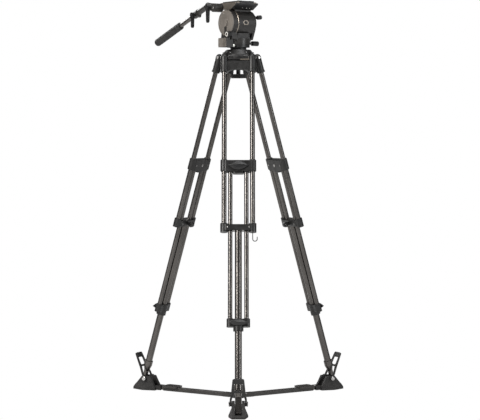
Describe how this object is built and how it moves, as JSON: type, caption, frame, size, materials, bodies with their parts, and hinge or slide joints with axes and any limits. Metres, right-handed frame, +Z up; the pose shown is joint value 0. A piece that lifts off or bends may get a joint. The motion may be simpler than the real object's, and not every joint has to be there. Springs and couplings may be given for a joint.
{
  "type": "tripod with fluid head",
  "caption": "Video tripod with telescoping twin-tube legs, ground spreader, levelling bowl and fluid head with sliding plate and pan bar.",
  "frame": {"origin": "centre of the spreader hub underside, on the floor under the crown", "axes": "+Z up along the crown axis, -Y towards the front leg, +X to the right seen from the front leg"},
  "size_m": [0.8032, 0.7738, 1.4695],
  "materials": {
    "black_casting": "fine black powder coat over cast aluminium",
    "head_paint": "satin charcoal paint",
    "tube_metal": "dark anodised tube with a soft sheen",
    "dark_plastic": "moulded black plastic",
    "rubber_black": "black rubber",
    "block_rubber": "grey-black moulded rubber",
    "steel": "turned steel",
    "warm_grey_trim": "warm grey moulded cover",
    "champagne_metal": "champagne anodised",
    "spreader_metal": "dark grey paint, worn along its edges"
  },
  "bodies": {
    "spreader": {"spreader_hub": "dark_plastic", "front_foot_block": "block_rubber", "front_arm_sleeve": "spreader_metal", "front_arm_rod": "tube_metal", "left_foot_block": "block_rubber", "left_arm_sleeve": "spreader_metal", "left_arm_rod": "tube_metal", "right_foot_block": "block_rubber", "right_arm_sleeve": "spreader_metal", "right_arm_rod": "tube_metal"},
    "bowl": {"crown": "black_casting", "hinge_pins": "steel"},
    "front_leg": {"front_yoke": "black_casting", "front_upper_tubes": "tube_metal", "front_guide_collar": "black_casting"},
    "front_middle": {"front_upper_clamp": "black_casting", "front_middle_tubes": "tube_metal", "front_lower_clamp": "black_casting"},
    "front_lower": {"front_lower_leg": "tube_metal"},
    "front_upper_knob": {"front_upper_lock": "dark_plastic"},
    "front_lower_knob": {"front_lower_lock": "dark_plastic"},
    "front_strap": {"front_foot_strap": "rubber_black"},
    "left_leg": {"left_yoke": "black_casting", "left_upper_tubes": "tube_metal", "left_guide_collar": "black_casting"},
    "left_middle": {"left_upper_clamp": "black_casting", "left_middle_tubes": "tube_metal", "left_lower_clamp": "black_casting"},
    "left_lower": {"left_lower_leg": "tube_metal"},
    "left_upper_knob": {"left_upper_lock": "dark_plastic"},
    "left_lower_knob": {"left_lower_lock": "dark_plastic"},
    "left_strap": {"left_foot_strap": "rubber_black"},
    "right_leg": {"right_yoke": "black_casting", "right_upper_tubes": "tube_metal", "right_guide_collar": "black_casting"},
    "right_middle": {"right_upper_clamp": "black_casting", "right_middle_tubes": "tube_metal", "right_lower_clamp": "black_casting"},
    "right_lower": {"right_lower_leg": "tube_metal"},
    "right_upper_knob": {"right_upper_lock": "dark_plastic"},
    "right_lower_knob": {"right_lower_lock": "dark_plastic"},
    "right_strap": {"right_foot_strap": "rubber_black"},
    "ball": {"levelling_ball": "black_casting", "head_base": "black_casting"},
    "ball_knob": {"bowl_knob": "rubber_black"},
    "pan_body": {"pan_housing": "head_paint", "counterbalance_cover": "warm_grey_trim"},
    "drag_knob": {"counterbalance_knob": "dark_plastic"},
    "pan_brake": {"pan_lock": "dark_plastic"},
    "tilt_brake": {"tilt_lock": "dark_plastic"},
    "tilt_body": {"tilt_drum": "head_paint", "platform": "champagne_metal", "bar_rosette": "black_casting"},
    "plate": {"camera_plate": "black_casting"},
    "plate_brake": {"plate_lock": "dark_plastic"},
    "bar": {"pan_bar": "head_paint"},
    "bar_brake": {"bar_lever": "dark_plastic"},
    "extension": {"bar_extension": "tube_metal", "bar_grip": "rubber_black"},
    "extension_brake": {"extension_lever": "dark_plastic"}
  },
  "joints": [
    {"name": "crown_lift", "type": "slide", "parent": "spreader", "child": "bowl", "axis": [0, 0, 1], "range_m": [0, 0.302]},
    {"name": "front_leg_fold", "type": "hinge", "parent": "bowl", "child": "front_leg", "pos_m": [0, -0.0515, 1.257], "axis": [1, 0, 0], "range_deg": [0, 14.1]},
    {"name": "front_middle_slide", "type": "slide", "parent": "front_leg", "child": "front_middle", "axis": [0, -0.2857, -0.9583], "range_m": [-0.29, 0]},
    {"name": "front_lower_slide", "type": "slide", "parent": "front_middle", "child": "front_lower", "axis": [0, -0.2857, -0.9583], "range_m": [-0.165, 0]},
    {"name": "front_upper_lock_turn", "type": "hinge", "parent": "front_middle", "child": "front_upper_knob", "pos_m": [0, -0.18391, 0.86499], "axis": [0, -0.9583, 0.2857], "range_deg": [0, 90]},
    {"name": "front_lower_lock_turn", "type": "hinge", "parent": "front_middle", "child": "front_lower_knob", "pos_m": [0, -0.34968, 0.32118], "axis": [0, -0.9583, 0.2857], "range_deg": [0, 90]},
    {"name": "front_strap_swing", "type": "hinge", "parent": "spreader", "child": "front_strap", "pos_m": [0, -0.39777, 0.044], "axis": [1, 0, 0], "range_deg": [0, 50]},
    {"name": "left_leg_fold", "type": "hinge", "parent": "bowl", "child": "left_leg", "pos_m": [-0.0446, 0.02575, 1.257], "axis": [-0.5, -0.866, 0], "range_deg": [0, 14.1]},
    {"name": "left_middle_slide", "type": "slide", "parent": "left_leg", "child": "left_middle", "axis": [-0.2474, 0.1428, -0.9583], "range_m": [-0.29, 0]},
    {"name": "left_lower_slide", "type": "slide", "parent": "left_middle", "child": "left_lower", "axis": [-0.2474, 0.1428, -0.9583], "range_m": [-0.165, 0]},
    {"name": "left_upper_lock_turn", "type": "hinge", "parent": "left_middle", "child": "left_upper_knob", "pos_m": [-0.15927, 0.09196, 0.86499], "axis": [-0.8299, 0.4792, 0.2857], "range_deg": [0, 90]},
    {"name": "left_lower_lock_turn", "type": "hinge", "parent": "left_middle", "child": "left_lower_knob", "pos_m": [-0.30283, 0.17484, 0.32118], "axis": [-0.8299, 0.4792, 0.2857], "range_deg": [0, 90]},
    {"name": "left_strap_swing", "type": "hinge", "parent": "spreader", "child": "left_strap", "pos_m": [-0.34448, 0.19889, 0.044], "axis": [-0.5, -0.866, 0], "range_deg": [0, 50]},
    {"name": "right_leg_fold", "type": "hinge", "parent": "bowl", "child": "right_leg", "pos_m": [0.0446, 0.02575, 1.257], "axis": [-0.5, 0.866, 0], "range_deg": [0, 14.1]},
    {"name": "right_middle_slide", "type": "slide", "parent": "right_leg", "child": "right_middle", "axis": [0.2474, 0.1428, -0.9583], "range_m": [-0.29, 0]},
    {"name": "right_lower_slide", "type": "slide", "parent": "right_middle", "child": "right_lower", "axis": [0.2474, 0.1428, -0.9583], "range_m": [-0.165, 0]},
    {"name": "right_upper_lock_turn", "type": "hinge", "parent": "right_middle", "child": "right_upper_knob", "pos_m": [0.15927, 0.09196, 0.86499], "axis": [0.8299, 0.4792, 0.2857], "range_deg": [0, 90]},
    {"name": "right_lower_lock_turn", "type": "hinge", "parent": "right_middle", "child": "right_lower_knob", "pos_m": [0.30283, 0.17484, 0.32118], "axis": [0.8299, 0.4792, 0.2857], "range_deg": [0, 90]},
    {"name": "right_strap_swing", "type": "hinge", "parent": "spreader", "child": "right_strap", "pos_m": [0.34448, 0.19889, 0.044], "axis": [-0.5, 0.866, 0], "range_deg": [0, 50]},
    {"name": "level_tilt", "type": "hinge", "parent": "bowl", "child": "ball", "pos_m": [0, 0, 1.286], "axis": [1, 0, 0], "range_deg": [-8, 8]},
    {"name": "ball_knob_turn", "type": "hinge", "parent": "ball", "child": "ball_knob", "pos_m": [0, 0, 1.197], "axis": [0, 0, 1], "continuous": true},
    {"name": "pan", "type": "hinge", "parent": "ball", "child": "pan_body", "pos_m": [0, 0, 1.3074], "axis": [0, 0, 1], "continuous": true},
    {"name": "tilt", "type": "hinge", "parent": "pan_body", "child": "tilt_body", "pos_m": [0, 0, 1.385], "axis": [-0.8141, -0.5807, 0], "range_deg": [-60, 60]},
    {"name": "plate_slide", "type": "slide", "parent": "tilt_body", "child": "plate", "axis": [-0.5807, 0.8141, 0], "range_m": [-0.03, 0.03]},
    {"name": "plate_lock_turn", "type": "hinge", "parent": "tilt_body", "child": "plate_brake", "pos_m": [0.03, 0.05334, 1.4485], "axis": [0.8141, 0.5807, 0], "range_deg": [-45, 45]},
    {"name": "drag_turn", "type": "hinge", "parent": "pan_body", "child": "drag_knob", "pos_m": [-0.03611, -0.05769, 1.3414], "axis": [-0.8141, -0.5807, 0], "continuous": true},
    {"name": "pan_lock_turn", "type": "hinge", "parent": "pan_body", "child": "pan_brake", "pos_m": [0.03533, 0.0252, 1.3114], "axis": [0.8141, 0.5807, 0], "range_deg": [0, 90]},
    {"name": "tilt_lock_turn", "type": "hinge", "parent": "pan_body", "child": "tilt_brake", "pos_m": [0.05608, 0.02281, 1.406], "axis": [0.8141, 0.5807, 0], "range_deg": [-20, 60]},
    {"name": "bar_angle", "type": "hinge", "parent": "tilt_body", "child": "bar", "pos_m": [-0.08264, -0.01227, 1.4415], "axis": [0.8141, 0.5807, 0], "range_deg": [-25, 70]},
    {"name": "bar_lever_swing", "type": "hinge", "parent": "bar", "child": "bar_brake", "pos_m": [-0.11295, -0.00318, 1.4415], "axis": [0.8141, 0.5807, 0], "range_deg": [-60, 60]},
    {"name": "bar_reach", "type": "slide", "parent": "bar", "child": "extension", "axis": [-0.5464, 0.766, -0.3387], "range_m": [-0.042, 0.015]},
    {"name": "extension_lever_swing", "type": "hinge", "parent": "bar", "child": "extension_brake", "pos_m": [-0.17182, 0.07763, 1.42098], "axis": [0.8141, 0.5807, 0], "range_deg": [-60, 60]}
  ],
  "couplings": [
    {"joint": "crown_lift", "follows": "front_leg_fold", "m_per_rad": 1.2},
    {"joint": "left_leg_fold", "follows": "front_leg_fold", "ratio": 1},
    {"joint": "right_leg_fold", "follows": "front_leg_fold", "ratio": 1}
  ]
}
